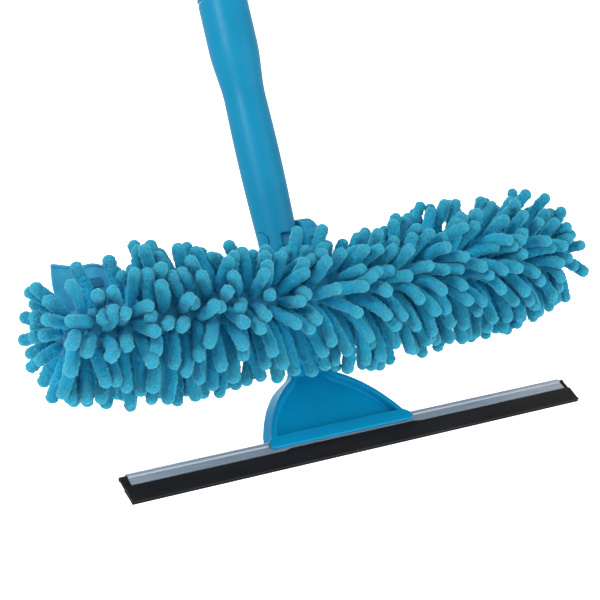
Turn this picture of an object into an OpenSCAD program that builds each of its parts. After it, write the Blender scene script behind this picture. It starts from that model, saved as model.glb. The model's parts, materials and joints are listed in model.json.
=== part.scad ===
// Window cleaning squeegee with a chenille washer on the same tilting head.
// Millimetres. The origin is the centre of the pole socket's mouth, at the top of the handle.
// Z runs up along the handle, X along the blade, and the washer is on the -Y side.

/* [Handle] */
// Distance from the pole socket's mouth down to the tilt hinge
handle_length = 150; // [140:1:170]
// Barrel radius where the hinge lap starts
barrel_r = 11.7; // [11.2:0.1:12]
// How far the barrel swells at the middle of the grip
barrel_swell = 0.85; // [0:0.05:1.2]
// Radius of the butt round the pole socket
butt_r = 14.6; // [14.2:0.1:16]

/* [Pole socket] */
// Inside radius of the pole socket
socket_r = 10.5; // [10:0.1:10.8]
// Depth of the pole socket
socket_depth = 48; // [40:1:55]

/* [Tilt hinge] */
// Radius of the hinge bolt's shank
bolt_r = 3; // [2.5:0.1:3.2]
// Radius of the head's hinge ear
ear_r = 8.5; // [8:0.1:9]
// Radius of the lock knob
knob_r = 11; // [10:0.5:12]

/* [Squeegee] */
// Length of the rubber blade
rubber_length = 300; // [250:5:350]
// How far the rubber stands out of the channel at each end
rubber_overhang = 4; // [0:0.5:6]
// How far the channel sits to the right of the holder's middle
channel_shift = 14.8; // [0:0.1:20]
// Rubber height from the middle of its bead to its edge
rubber_height = 16.7; // [14:0.1:20]
// Half of the jaw's width
jaw_half = 47.6; // [47.2:0.2:50]
// Forward lean of the blade from the handle's line
blade_lean = 38.3; // [35:0.1:42]
// Forward lean of the fan from the handle's line
fan_lean = 28; // [26:0.5:30]

/* [Washer] */
// Length of the washer bar without its end caps
bar_length = 300; // [280:5:310]
// Radius of the washer bar
bar_r = 9; // [8.6:0.1:9]
// Radius of the chenille pile
pile_r = 38; // [34:0.5:40]
// How far the bar's centreline lies in front of the hinge
bar_forward = 42; // [41:0.5:44]
// How far the bar's centreline lies below the hinge
bar_drop = 39; // [38:0.5:40]

/* [Hidden] */
$fn = 96;
eps = 0.01;

blue = [0.15, 0.57, 0.73];
knob_blue = [0.15, 0.52, 0.67];
pile_blue = [0.20, 0.60, 0.74];
flap_blue = [0.20, 0.56, 0.72];
patch_blue = [0.14, 0.47, 0.60];
steel = [0.72, 0.73, 0.75];
alloy = [0.56, 0.60, 0.64];
black = [0.10, 0.11, 0.12];

// Hinge stack along X, from the bolt's head on the left to the knob on the right.
lap_face = -3.4;
disc_t = 0.9;
stack_gap = 0.05;
ear_x0 = lap_face + disc_t + 2 * stack_gap;
ear_x1 = 10;
washer_t = 1;
washer_r = 6.2;
knob_x0 = ear_x1 + washer_t + 2 * stack_gap;
boss_r = 7.8;
boss_t = 1.5;
knob_t = 12;
flute_count = 10;
flute_r = 2.2;
flute_out = 1.4;
flute_z = 2.4;
nut_x0 = knob_x0 + 3;
nut_t = 5;
nut_r = 5.8;
cap_r = 7;
cap_t = 1.6;
shoulder_gap = 0.4;
shoulder_z = ear_r + shoulder_gap;
lap_room = 40;
lap_side = 20;
forward_tilt = 50;
bolt_head_r = 5.8;
bolt_head_t = 2.6;
bolt_head_x = -9.4;
head_chamfer = 1.2;
head_room = 0.2;
neck_room = 0.1;
bolt_neck = 6;
running_gap = 0.05;

// Handle
waist_z = 86;
butt_z = 118;
grip_mid_z = 48;
flange_t = 2.2;
insert_r = 12.1;
hollow_r = 9.4;
hollow_z0 = 18;

// Hub, in the hinge's frame
hub_half_x = 10.5;
hub_half_y = 8.5;
hub_round = 4;
hub_top = -(barrel_r + 1.1);
hub_bottom = -60;
tongue_half_x = 9;
tongue_y = [-2, 3.5];
tongue_bottom = -69;
fit_gap = 0.2;
neck_half_x = 12;
neck_y = [-4, 7];
neck_round = 5;
neck_bottom = -84;
hub_screw_x = [-5, 5];
hub_screw_z = -64.7;
stem_half_x = 9;
stem_half_z = 10;
saddle_half_x = 24;
saddle_r = 12.2;
saddle_half_z = 9.5;
bar_screw_x = [-18, 18];
screw_r = 1.5;
screw_head_r = 2.7;
screw_head_t = 1.7;

// Blade, in the frame of the rubber's bead
bead_y = -19.25;
bead_z = -114.5;
bead_r = 1.35;
channel_round_r = 2.3;
channel_skirt = 1.65;
channel_drop = 6.2;
channel_wall = 0.8;
channel_length = rubber_length - 2 * rubber_overhang;
relief_x = [-50, 32];
relief_depth = 1.2;
relief_slope = 5;
jaw_gap = 0.12;
jaw_front = 3.6;
jaw_bottom = 4.5;
jaw_ridge = 2.6;
band_top = 3.1;
plate_half = 41;
plate_y = [5, 6.8];
rail_top = 10;
jaw_screw_x = [-30, 0, 30];
jaw_screw_z = 7;
jaw_screw_reach = 4.6;

// Fan, from the top edge of the jaw's front band. Its face leans; its outer walls run straight back.
face_arc = [20.9, -26.7, 70.1];
side_arc = [13.7, -27.5, 63.9];
fillet_r = 9;
fillet_x = neck_half_x + fillet_r;
face_half = sqrt(pow(face_arc[2], 2) - pow(face_arc[1], 2)) - face_arc[0];
fan_top = 39;
fan_depth = 9.6;
fan_back = 3;
fan_rim = 3;
fan_wall = 2.4;
fan_recess = 4.6;
fan_floor = 2.2;
fan_recess_top = 38;
fan_skirt = 3;

// Washer
sleeve_gap = 0.3;
sleeve_t = 1.1;
sleeve_in = bar_r + sleeve_gap;
sleeve_out = sleeve_in + sleeve_t;
bar_wall = 2.2;
cap_flange = 4;
cap_plug = 12;
sleeve_half = bar_length / 2 + 10;
end_t = 1.2;
slit_half_x = 27;
slit_half_z = 10.5;
binding_t = 1;
pile_gap = 0.3;
pile_x = [-176, 179];
pile_round = 22;
pile_room = 1.2;
saddle_room = 5;
screw_room = 0.6;

// Closure flap at the washer's left end
flap_x = [-153, -125];
flap_lean = 15;
flap_root = sleeve_out + 1.5;
flap_reach = 23;
flap_t = 1.4;
patch_size = [7.5, 5];
patch_t = 0.7;
patch_inset = [3.8, 7.4];
loop_width = 8;
loop_inset = 4;
hook_z = [6, 12];
flap_room = [-4, 124];
flap_clear = 2.6;
flap_side_gap = 2.5;
loop_turn = 65;

module at_hinge() translate([0, 0, -handle_length]) children();

module along_x(x0) translate([x0, 0, 0]) rotate([0, 90, 0]) children();

// Down the blade is -Z here, and its front face looks along -Y.
module blade_frame() translate([0, bead_y, bead_z]) rotate([-blade_lean, 0, 0]) children();

module fan_foot() blade_frame() translate([0, -jaw_front, band_top]) rotate([blade_lean, 0, 0]) children();

module fan_frame() fan_foot() rotate([-fan_lean, 0, 0]) children();

module bar_frame() translate([0, -bar_forward, -bar_drop]) children();

// A plate drawn in X and Z, from y0 back to y1.
module upright(y0, y1) translate([0, y1, 0]) rotate([90, 0, 0]) linear_extrude(y1 - y0) children();

module rounded_rect(x, y, r) {
    square([x, y - 2 * r], center = true);
    square([x - 2 * r, y], center = true);
    for (i = [-1, 1], j = [-1, 1]) translate([i * (x / 2 - r), j * (y / 2 - r)]) circle(r);
}

// Barrel radius at a height over the hinge: a long swell, a waist, then the wider butt.
function ease(t) = t * t * (3 - 2 * t);
function grip_r(z) = z < waist_z
    ? barrel_r + barrel_swell * sin(180 * max(0, z - 2) / (2 * grip_mid_z)) + 0.2 * z / waist_z
    : let (waist = grip_r(waist_z - eps), t = min(1, (z - waist_z) / (butt_z - waist_z)))
        waist + (butt_r - waist) * ease(t);

module grip_profile() {
    top = handle_length - flange_t;
    polygon(concat([[0, 0]], [for (z = [0 : 2 : top - 1.5]) [grip_r(z), z]],
                   [[butt_r - 1, top], [0, top]]));
}

// What the head's ear sweeps, in Y and Z: a flat shoulder at the rear, and at the front a lip that
// follows the ear's round top as far as the forward tilt allows.
module lap_opening() polygon(concat(
    [[lap_side, -lap_side], [lap_side, shoulder_z]],
    [for (a = [0 : 4 : 90 - forward_tilt]) [-shoulder_z * sin(a), shoulder_z * cos(a)]],
    [[-lap_side, shoulder_z * cos(90 - forward_tilt)
        - (lap_side - shoulder_z * sin(90 - forward_tilt)) / tan(forward_tilt)],
     [-lap_side, -lap_side]]));

module handle_grip() color(blue) at_hinge() difference() {
    union() {
        rotate_extrude() grip_profile();
        intersection() {
            translate([0, 0, -barrel_r]) cylinder(r = barrel_r, h = barrel_r + eps);
            along_x(-barrel_r) cylinder(r = barrel_r, h = 2 * barrel_r);
        }
    }
    translate([lap_face, 0, 0]) rotate([90, 0, 90]) linear_extrude(lap_room) lap_opening();
    translate([0, 0, hollow_z0]) cylinder(r = hollow_r, h = handle_length);
    translate([0, 0, handle_length - socket_depth - 3]) cylinder(r = insert_r, h = socket_depth + 3);
    along_x(-lap_side) cylinder(r = bolt_head_r + head_room, h = lap_side + bolt_head_x + bolt_head_t);
    translate([bolt_head_x, -bolt_neck / 2 - neck_room, -bolt_neck / 2 - neck_room])
        cube([lap_side + bolt_head_x, bolt_neck + 2 * neck_room, bolt_neck + 2 * neck_room]);
}

module pole_socket() color(knob_blue) difference() {
    union() {
        translate([0, 0, -socket_depth - 2]) cylinder(r = insert_r, h = socket_depth + 2 - flange_t);
        rotate_extrude() {
            translate([0, -flange_t]) square([butt_r - 1.1, flange_t]);
            translate([butt_r - 1.1, -flange_t / 2]) circle(flange_t / 2);
        }
    }
    translate([0, 0, -socket_depth]) cylinder(r = socket_r, h = socket_depth + 1);
}

module hinge_bolt() color(steel) at_hinge() {
    along_x(bolt_head_x + head_chamfer) cylinder(r = bolt_head_r, h = bolt_head_t - head_chamfer);
    along_x(bolt_head_x) cylinder(r1 = bolt_head_r - head_chamfer, r2 = bolt_head_r, h = head_chamfer);
    translate([bolt_head_x + bolt_head_t, -bolt_neck / 2, -bolt_neck / 2])
        cube([lap_face - 0.2 - bolt_head_x - bolt_head_t, bolt_neck, bolt_neck]);
    along_x(bolt_head_x + bolt_head_t)
        cylinder(r = bolt_r, h = nut_x0 + nut_t + 0.8 - bolt_head_x - bolt_head_t);
}

// Snap-in plug over the bolt's head, flush with the barrel.
module bolt_plug() color(blue) at_hinge() intersection() {
    along_x(-barrel_r)
        cylinder(r = bolt_head_r + head_room - stack_gap, h = barrel_r + bolt_head_x - stack_gap);
    translate([0, 0, -barrel_r]) cylinder(r = barrel_r, h = 2 * barrel_r);
}

module friction_disc() color(black) at_hinge() along_x(lap_face + stack_gap) difference() {
    cylinder(r = ear_r - 0.3, h = disc_t);
    translate([0, 0, -1]) cylinder(r = bolt_r + 0.2, h = disc_t + 2);
}

module clamp_washer() color(steel) at_hinge() along_x(ear_x1 + stack_gap) difference() {
    cylinder(r = washer_r, h = washer_t);
    translate([0, 0, -1]) cylinder(r = bolt_r + running_gap, h = washer_t + 2);
}

module knob_profile() {
    r_edge = 2.2;
    square([boss_r, boss_t + eps]);
    translate([0, boss_t]) square([knob_r - r_edge / 2, knob_t - r_edge - boss_t]);
    translate([0, boss_t + r_edge / 2]) square([knob_r, knob_t - 1.5 * r_edge - boss_t]);
    translate([knob_r - r_edge / 2, boss_t + r_edge / 2]) circle(r_edge / 2);
    translate([0, knob_t - r_edge - eps]) square([knob_r - r_edge, r_edge + eps]);
    translate([knob_r - r_edge, knob_t - r_edge]) circle(r_edge);
}

module lock_knob() color(knob_blue) at_hinge() along_x(knob_x0) difference() {
    rotate_extrude() knob_profile();
    for (i = [0 : flute_count - 1]) rotate(i * 360 / flute_count)
        translate([knob_r + flute_out, 0, boss_t + flute_z]) cylinder(r = flute_r, h = knob_t);
    translate([0, 0, -1]) cylinder(r = bolt_r + running_gap, h = knob_t);
    translate([0, 0, nut_x0 - knob_x0]) cylinder(r = nut_r + 0.1, h = knob_t, $fn = 6);
    translate([0, 0, knob_t - cap_t]) cylinder(r = cap_r + 0.1, h = cap_t + 1);
}

module knob_nut() color(steel) at_hinge() along_x(nut_x0 + eps) difference() {
    cylinder(r = nut_r, h = nut_t, $fn = 6);
    translate([0, 0, -1]) cylinder(r = bolt_r + running_gap, h = nut_t + 2);
}

module knob_cap() color(blue) at_hinge() along_x(knob_x0 + knob_t - cap_t + eps) {
    cylinder(r = cap_r, h = cap_t - 0.5);
    translate([0, 0, cap_t - 0.5]) cylinder(r1 = cap_r, r2 = cap_r - 1.2, h = 0.8);
}

module head_hub() color(blue) at_hinge() difference() {
    union() {
        along_x(ear_x0) cylinder(r = ear_r, h = ear_x1 - ear_x0);
        translate([ear_x0, -ear_r, hub_top - 6]) cube([ear_x1 - ear_x0, 2 * ear_r, 6 - hub_top]);
        translate([0, 0, hub_bottom]) linear_extrude(hub_top - hub_bottom)
            rounded_rect(2 * hub_half_x, 2 * hub_half_y, hub_round);
        translate([-tongue_half_x, tongue_y[0], tongue_bottom])
            cube([2 * tongue_half_x, tongue_y[1] - tongue_y[0], hub_bottom - tongue_bottom + 1]);
        translate([0, 0, -bar_drop]) rotate([90, 0, 0]) linear_extrude(bar_forward - saddle_r + 2)
            rounded_rect(2 * stem_half_x, 2 * stem_half_z, 3);
        intersection() {
            bar_frame() along_x(-saddle_half_x) cylinder(r = saddle_r, h = 2 * saddle_half_x);
            translate([-saddle_half_x, -bar_forward + 2, -bar_drop - saddle_half_z])
                cube([2 * saddle_half_x, saddle_r, 2 * saddle_half_z]);
        }
    }
    along_x(ear_x0 - 1) cylinder(r = bolt_r + running_gap, h = ear_x1 - ear_x0 + 2);
    bar_frame() along_x(-saddle_half_x - 5) cylinder(r = bar_r + 0.05, h = 2 * saddle_half_x + 10);
    for (x = bar_screw_x) bar_frame() translate([x, 0, 0]) rotate([-90, 0, 0])
        cylinder(r = screw_r + 0.1, h = saddle_r + 5);
    for (x = hub_screw_x) translate([x, tongue_y[0] + 0.8, hub_screw_z]) rotate([-90, 0, 0])
        cylinder(r = screw_r + 0.05, h = 20);
}

// A screw whose head's underside is at Z = 0, its shank going down.
module pan_screw(shank) {
    translate([0, 0, -shank]) cylinder(r = screw_r, h = shank + 0.5);
    cylinder(r = screw_head_r, h = screw_head_t - 0.7);
    translate([0, 0, screw_head_t - 0.7]) cylinder(r1 = screw_head_r, r2 = 1.7, h = 0.7);
}

module bar_screws() color(steel) at_hinge() bar_frame() for (x = bar_screw_x)
    translate([x, saddle_r + 0.02, 0]) rotate([-90, 0, 0]) pan_screw(saddle_r - bar_r + bar_wall + 1);

// The fan's outline, from a mirrored arc [how far past the middle its centre lies, height, radius]:
// a fillet leads each arc into the straight neck.
module fan_outline(arc, inset, low, high) {
    fillet_z = arc[1] + sqrt(pow(arc[2] + fillet_r, 2) - pow(arc[0] + fillet_x, 2));
    touch = arc[2] / (arc[2] + fillet_r);
    touch_x = touch * (arc[0] + fillet_x) - arc[0];
    touch_z = arc[1] + touch * (fillet_z - arc[1]);
    intersection() {
        translate([-arc[0], arc[1]]) circle(arc[2] - inset, $fn = 256);
        translate([arc[0], arc[1]]) circle(arc[2] - inset, $fn = 256);
        translate([-2 * jaw_half, low]) square([4 * jaw_half, high - low]);
    }
    translate([inset - neck_half_x, low]) square([2 * (neck_half_x - inset), high - low]);
    if (high > touch_z) for (side = [-1, 1]) intersection() {
        difference() {
            polygon([[0, touch_z - 4], [0, fillet_z], [side * fillet_x, fillet_z],
                     [side * touch_x, touch_z], [side * (touch_x - 3), touch_z - 4]]);
            translate([side * fillet_x, fillet_z]) circle(fillet_r + inset);
        }
        translate([-2 * jaw_half, low]) square([4 * jaw_half, high - low]);
    }
}

// Front view of the jaw's lip, with its two rounded ears.
module jaw_outline() {
    ear = 2.4;
    band_half = face_half - 0.2;
    polygon([[-band_half, band_top + 0.6], [band_half, band_top + 0.6],
             [jaw_half - 0.8, 1.2], [jaw_half - ear, -jaw_bottom],
             [ear - jaw_half, -jaw_bottom], [0.8 - jaw_half, 1.2]]);
    for (side = [-1, 1], z = [-0.9, ear - jaw_bottom]) translate([side * (jaw_half - ear), z]) circle(ear);
    translate([-jaw_half, ear - jaw_bottom]) square([2 * jaw_half, jaw_bottom - ear - 0.9]);
}

// The part of the fan between two depths behind its face.
module fan_slab(y0, y1, inset, low) intersection() {
    fan_foot() upright(-fan_skirt, 3 * fan_depth + fan_top) fan_outline(side_arc, inset, low, fan_top);
    fan_frame() translate([-2 * jaw_half, y0, -4 * fan_skirt])
        cube([4 * jaw_half, y1 - y0, fan_top * 1.2 + 4 * fan_skirt]);
    translate([-2 * jaw_half, -100, -150]) cube([4 * jaw_half, 100 + fan_back, 150]);
}

module fan_tray() difference() {
    fan_slab(0, fan_depth, 0, -fan_skirt);
    fan_frame() upright(-1, fan_recess) fan_outline(face_arc, fan_rim, 0, fan_recess_top);
    intersection() {
        fan_slab(fan_recess + fan_floor, fan_depth + 1, fan_wall, -3 * fan_skirt);
        fan_frame() translate([-2 * jaw_half, 0, -4 * fan_skirt])
            cube([4 * jaw_half, 3 * fan_depth, fan_recess_top - 4 + 4 * fan_skirt]);
    }
}

module channel_room() {
    translate([-100, -channel_round_r - jaw_gap, -jaw_ridge])
        cube([200, 2 * channel_round_r + 2 * jaw_gap + 10, jaw_ridge + channel_round_r + jaw_gap]);
    translate([-100, -channel_skirt - jaw_gap, -20]) cube([200, 20, 20]);
}

module squeegee_holder() color(blue) at_hinge() difference() {
    union() {
        fan_tray();
        difference() {
            translate([0, (neck_y[0] + neck_y[1]) / 2, neck_bottom])
                linear_extrude(hub_bottom - 0.1 - neck_bottom)
                rounded_rect(2 * neck_half_x, neck_y[1] - neck_y[0], neck_round);
            fan_frame() translate([-jaw_half, -50, 0]) cube([2 * jaw_half, 50, fan_recess_top + 4]);
            fan_frame() upright(-1, fan_recess) fan_outline(face_arc, fan_rim, 0, fan_recess_top);
        }
        blade_frame() upright(-jaw_front, channel_round_r + jaw_gap) jaw_outline();
        blade_frame() translate([-plate_half - 1, 1.5, channel_round_r + jaw_gap])
            cube([2 * plate_half + 2, plate_y[0] - 1.5, rail_top - channel_round_r]);
    }
    blade_frame() channel_room();
    translate([-tongue_half_x - fit_gap, tongue_y[0] - fit_gap, tongue_bottom - 0.5])
        cube([2 * (tongue_half_x + fit_gap), tongue_y[1] - tongue_y[0] + 2 * fit_gap, 30]);
    for (x = hub_screw_x) translate([x, tongue_y[1], hub_screw_z]) rotate([-90, 0, 0]) {
        cylinder(r = screw_r + 0.2, h = 10);
        translate([0, 0, neck_y[1] - tongue_y[1] - screw_head_t - 0.1])
            cylinder(r = screw_head_r + 0.3, h = 5);
    }
    blade_frame() for (x = jaw_screw_x) translate([x, 1.9, jaw_screw_z]) rotate([-90, 0, 0])
        cylinder(r = screw_r + 0.05, h = 10);
}

module hub_screws() color(steel) at_hinge() for (x = hub_screw_x)
    translate([x, neck_y[1] - screw_head_t, hub_screw_z]) rotate([-90, 0, 0])
        pan_screw(neck_y[1] - screw_head_t - tongue_y[0] - 1);

module jaw_plate() color(blue) at_hinge() blade_frame() difference() {
    union() {
        translate([-plate_half, plate_y[0] + 0.03, -jaw_bottom])
            cube([2 * plate_half, plate_y[1] - plate_y[0], jaw_bottom + rail_top - 0.5]);
        translate([-plate_half, channel_round_r + jaw_gap, -jaw_bottom])
            cube([2 * plate_half, plate_y[0], jaw_bottom + channel_round_r]);
        translate([-plate_half, channel_skirt + jaw_gap, -jaw_bottom])
            cube([2 * plate_half, 2, jaw_bottom - jaw_ridge]);
    }
    translate([-60, plate_y[1], -20]) cube([120, 20, 40]);
    for (x = jaw_screw_x) translate([x, 0, jaw_screw_z]) rotate([-90, 0, 0])
        cylinder(r = screw_r + 0.15, h = 20);
}

module jaw_screws() color(steel) at_hinge() blade_frame() for (x = jaw_screw_x)
    translate([x, plate_y[1] + 0.02, jaw_screw_z]) rotate([-90, 0, 0]) pan_screw(jaw_screw_reach);

// Cross-section of the channel: a round back over two straight skirts.
module channel_section() difference() {
    union() {
        circle(channel_round_r);
        translate([-channel_skirt, -channel_drop]) square([2 * channel_skirt, channel_drop]);
    }
    circle(bead_r + 0.1);
    translate([-channel_skirt + channel_wall, -channel_drop - 1])
        square([2 * (channel_skirt - channel_wall), channel_drop + 1]);
}

module blade_channel() color(alloy) at_hinge() translate([channel_shift, 0, 0]) blade_frame() difference() {
    translate([-channel_length / 2, 0, 0]) rotate([90, 0, 90])
        linear_extrude(channel_length) channel_section();
    upright(-channel_skirt - 1, 0) polygon([
        [relief_x[0] - relief_slope, -channel_drop - 1], [relief_x[0] - relief_slope, -channel_drop],
        [relief_x[0], relief_depth - channel_drop], [relief_x[1], relief_depth - channel_drop],
        [relief_x[1] + relief_slope, -channel_drop], [relief_x[1] + relief_slope, -channel_drop - 1]]);
}

// Cross-section of the rubber under its bead: web in the channel, then the blade with its two lips.
module rubber_section() {
    web = channel_skirt - channel_wall - 0.08;
    under = -channel_drop - 0.4;
    half = [[web, 0], [web, under], [1.5, under], [1.5, under - 1.6], [1.0, 2.4 - rubber_height],
            [1.15, 0.9 - rubber_height], [1.15, -rubber_height], [0.35, -rubber_height],
            [0.25, 0.5 - rubber_height]];
    polygon(concat(half, [for (i = [len(half) - 1 : -1 : 0]) [-half[i][0], half[i][1]]]));
}

module rubber_blade() color(black) at_hinge() translate([channel_shift - rubber_length / 2, 0, 0])
    blade_frame() {
        along_x(0) cylinder(r = bead_r, h = rubber_length);
        rotate([90, 0, 90]) linear_extrude(rubber_length) rubber_section();
    }

module washer_bar() color(blue) at_hinge() bar_frame() difference() {
    along_x(-bar_length / 2) cylinder(r = bar_r, h = bar_length);
    along_x(-bar_length / 2 - 1) cylinder(r = bar_r - bar_wall, h = bar_length + 2);
    for (x = bar_screw_x) translate([x, 0, 0]) rotate([-90, 0, 0]) cylinder(r = screw_r + 0.05, h = 20);
}

module bar_cap() {
    translate([0, 0, -cap_plug]) cylinder(r = bar_r - bar_wall - 0.05, h = cap_plug + 1);
    translate([0, 0, 0.02]) cylinder(r = bar_r, h = cap_flange);
    translate([0, 0, cap_flange]) cylinder(r1 = bar_r, r2 = bar_r - 3, h = 2.5);
}

module bar_cap_right() color(knob_blue) at_hinge() bar_frame() along_x(bar_length / 2) bar_cap();
module bar_cap_left() color(knob_blue) at_hinge() bar_frame() mirror([1, 0, 0])
    along_x(bar_length / 2) bar_cap();

module slit_room(grow) translate([-slit_half_x - grow, 0, -slit_half_z - grow])
    cube([2 * (slit_half_x + grow), 40, 2 * (slit_half_z + grow)]);

module sleeve_tube(r_in, r_out, half) along_x(-half) difference() {
    cylinder(r = r_out, h = 2 * half);
    translate([0, 0, -1]) cylinder(r = r_in, h = 2 * half + 2);
}

module sleeve_backing() color(flap_blue) at_hinge() bar_frame() difference() {
    sleeve_tube(sleeve_in, sleeve_out, sleeve_half);
    slit_room(0);
}

module sleeve_end_right() color(flap_blue) at_hinge() bar_frame() along_x(sleeve_half + 0.02)
    cylinder(r = sleeve_out, h = end_t);
module sleeve_end_left() color(flap_blue) at_hinge() bar_frame() along_x(-sleeve_half - 0.02 - end_t)
    cylinder(r = sleeve_out, h = end_t);

module slit_binding() color(flap_blue) at_hinge() bar_frame() intersection() {
    difference() {
        sleeve_tube(sleeve_out + 0.02, sleeve_out + binding_t, slit_half_x + 4);
        slit_room(0.2);
    }
    slit_room(2.2);
}

// The flap's own frame: its root line on X, the flap standing along +Z, its front face along -Y.
module flap_frame() bar_frame() rotate([-flap_lean, 0, 0]) translate([0, 0, flap_root]) children();

module closure_flap() color(flap_blue) at_hinge() flap_frame()
    translate([flap_x[0], -flap_t / 2, 0]) cube([flap_x[1] - flap_x[0], flap_t, flap_reach]);

module flap_patch() color(patch_blue) at_hinge() flap_frame()
    translate([flap_x[1] - patch_size[0] - patch_inset[0], -flap_t / 2 - patch_t - 0.02,
        flap_reach - patch_size[1] - patch_inset[1]])
        cube([patch_size[0], patch_t, patch_size[1]]);

// Hook tape on the flap's rear face, which meets the loop patch when the flap is folded back.
module hook_patch() color(patch_blue) at_hinge() flap_frame()
    translate([flap_x[0] + loop_inset, flap_t / 2 + 0.02, hook_z[0]])
        cube([flap_x[1] - flap_x[0] - 2 * loop_inset, patch_t, hook_z[1] - hook_z[0]]);

module loop_patch() color(patch_blue) at_hinge() bar_frame() rotate([-loop_turn, 0, 0])
    translate([flap_x[0] + loop_inset, -loop_width / 2, sleeve_out + 0.3])
        cube([flap_x[1] - flap_x[0] - 2 * loop_inset, loop_width, patch_t]);

module pile_profile() {
    half = (pile_x[1] - pile_x[0]) / 2;
    translate([0, -half]) square([pile_r - pile_round, 2 * half]);
    translate([0, pile_round - half]) square([pile_r, 2 * half - 2 * pile_round]);
    for (side = [-1, 1]) intersection() {
        translate([pile_r - pile_round, side * (half - pile_round)]) circle(pile_round);
        translate([0, -half]) square([pile_r, 2 * half]);
    }
}

module chenille_pile() color(pile_blue) at_hinge() bar_frame() difference() {
    translate([(pile_x[0] + pile_x[1]) / 2, 0, 0]) rotate([0, 90, 0]) rotate_extrude() pile_profile();
    along_x(-sleeve_half - end_t - pile_gap)
        cylinder(r = sleeve_out + pile_gap, h = 2 * (sleeve_half + end_t + pile_gap));
    along_x(-slit_half_x - saddle_room)
        cylinder(r = saddle_r + screw_head_t + screw_room, h = 2 * (slit_half_x + saddle_room));
    translate([-stem_half_x - pile_room, 0, -stem_half_z - pile_room])
        cube([2 * (stem_half_x + pile_room), bar_forward, 2 * (stem_half_z + pile_room)]);
    translate([-hub_half_x - pile_room, bar_forward - hub_half_y - pile_room, -pile_r - 1])
        cube([2 * (hub_half_x + pile_room), pile_r, 2 * pile_r + 2]);
    rotate([-flap_lean, 0, 0]) translate([flap_x[0] - flap_side_gap, 0, flap_root - 2])
        rotate([90, 0, 90]) linear_extrude(flap_x[1] - flap_x[0] + 2 * flap_side_gap)
            polygon([[-flap_clear, 0], for (a = [flap_room[0] : 8 : flap_room[1]])
                [60 * sin(a) - flap_clear, 60 * cos(a)]]);
}

handle_grip();
pole_socket();
hinge_bolt();
bolt_plug();
friction_disc();
lock_knob();
knob_nut();
knob_cap();
clamp_washer();
head_hub();
squeegee_holder();
hub_screws();
jaw_plate();
jaw_screws();
blade_channel();
rubber_blade();
washer_bar();
bar_cap_left();
bar_cap_right();
bar_screws();
sleeve_backing();
sleeve_end_left();
sleeve_end_right();
slit_binding();
loop_patch();
chenille_pile();
closure_flap();
flap_patch();
hook_patch();
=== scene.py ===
"""Looks of the window cleaning squeegee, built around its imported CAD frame. Metres, in the CAD frame."""
import json
import math

import bmesh
import bpy
import numpy as np
from mathutils import Matrix, Vector


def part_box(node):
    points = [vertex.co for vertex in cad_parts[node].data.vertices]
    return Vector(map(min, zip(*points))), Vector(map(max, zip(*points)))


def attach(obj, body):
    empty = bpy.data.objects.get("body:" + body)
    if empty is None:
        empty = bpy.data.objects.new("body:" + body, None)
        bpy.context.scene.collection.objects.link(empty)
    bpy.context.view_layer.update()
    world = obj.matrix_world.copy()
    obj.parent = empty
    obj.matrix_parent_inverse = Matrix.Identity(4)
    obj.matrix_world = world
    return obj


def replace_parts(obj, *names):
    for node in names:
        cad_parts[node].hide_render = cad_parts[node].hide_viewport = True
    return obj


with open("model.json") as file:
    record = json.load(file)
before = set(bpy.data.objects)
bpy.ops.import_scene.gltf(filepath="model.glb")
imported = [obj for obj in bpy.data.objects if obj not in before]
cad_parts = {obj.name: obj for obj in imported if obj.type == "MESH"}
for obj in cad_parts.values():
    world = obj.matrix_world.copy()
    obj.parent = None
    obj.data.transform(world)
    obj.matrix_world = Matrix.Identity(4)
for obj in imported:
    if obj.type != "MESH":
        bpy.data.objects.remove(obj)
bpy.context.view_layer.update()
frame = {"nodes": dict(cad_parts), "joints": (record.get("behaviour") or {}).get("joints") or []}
MM = 0.001
SEED = 7
rng = np.random.default_rng(SEED)


# ---------------------------------------------------------------- places that come from the frame
def joint_at(name):
    """The point a joint turns about, in the CAD frame."""
    return Vector(next(j["pos_m"] for j in frame["joints"] if j["name"] == name))


def middle(node):
    low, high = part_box(node)
    return (low + high) / 2


HINGE = joint_at("head_tilt")
BAR = middle("washer_bar")
SLEEVE_LOW, SLEEVE_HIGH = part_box("sleeve_backing")
SLEEVE_R = (SLEEVE_HIGH.z - SLEEVE_LOW.z) / 2
PILE_LOW, PILE_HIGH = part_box("chenille_pile")
PILE_R = (PILE_HIGH.z - PILE_LOW.z) / 2
FLAP_ROOT = joint_at("flap_fold")
FLAP_LOW, FLAP_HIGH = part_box("closure_flap")
FLAP_WIDTH = FLAP_HIGH.x - FLAP_LOW.x
FLAP_LEAN = math.radians(15)
FLAP_UP = Vector((0, math.sin(FLAP_LEAN), math.cos(FLAP_LEAN)))
FLAP_FRONT = Vector((0, -math.cos(FLAP_LEAN), math.sin(FLAP_LEAN)))
FLAP_REACH = (FLAP_HIGH.z - FLAP_ROOT.z) / math.cos(FLAP_LEAN)


# ---------------------------------------------------------------- camera, stage and light
def add_camera():
    """A long lens from the left and slightly below, rolled as a hand holds the tool. Returns its up."""
    azimuth, elevation, roll = (math.radians(d) for d in (-31.6, -6.43, -13.1))
    distance, aim = 0.82, (0.01264, -0.03399)
    back = Vector((math.sin(azimuth) * math.cos(elevation),
                   -math.cos(azimuth) * math.cos(elevation), math.sin(elevation)))
    level = Vector((math.cos(azimuth), math.sin(azimuth), 0))
    upward = back.cross(level)
    right = math.cos(roll) * level + math.sin(roll) * upward
    up = -math.sin(roll) * level + math.cos(roll) * upward
    data = bpy.data.cameras.new("camera")
    data.lens, data.sensor_width = 85.4, 36
    camera = bpy.data.objects.new("camera", data)
    place = Matrix((right, up, back)).transposed().to_4x4()
    place.translation = HINGE + distance * back + aim[0] * right + aim[1] * up
    camera.matrix_world = place
    bpy.context.scene.collection.objects.link(camera)
    bpy.context.scene.camera = camera
    return up


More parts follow.
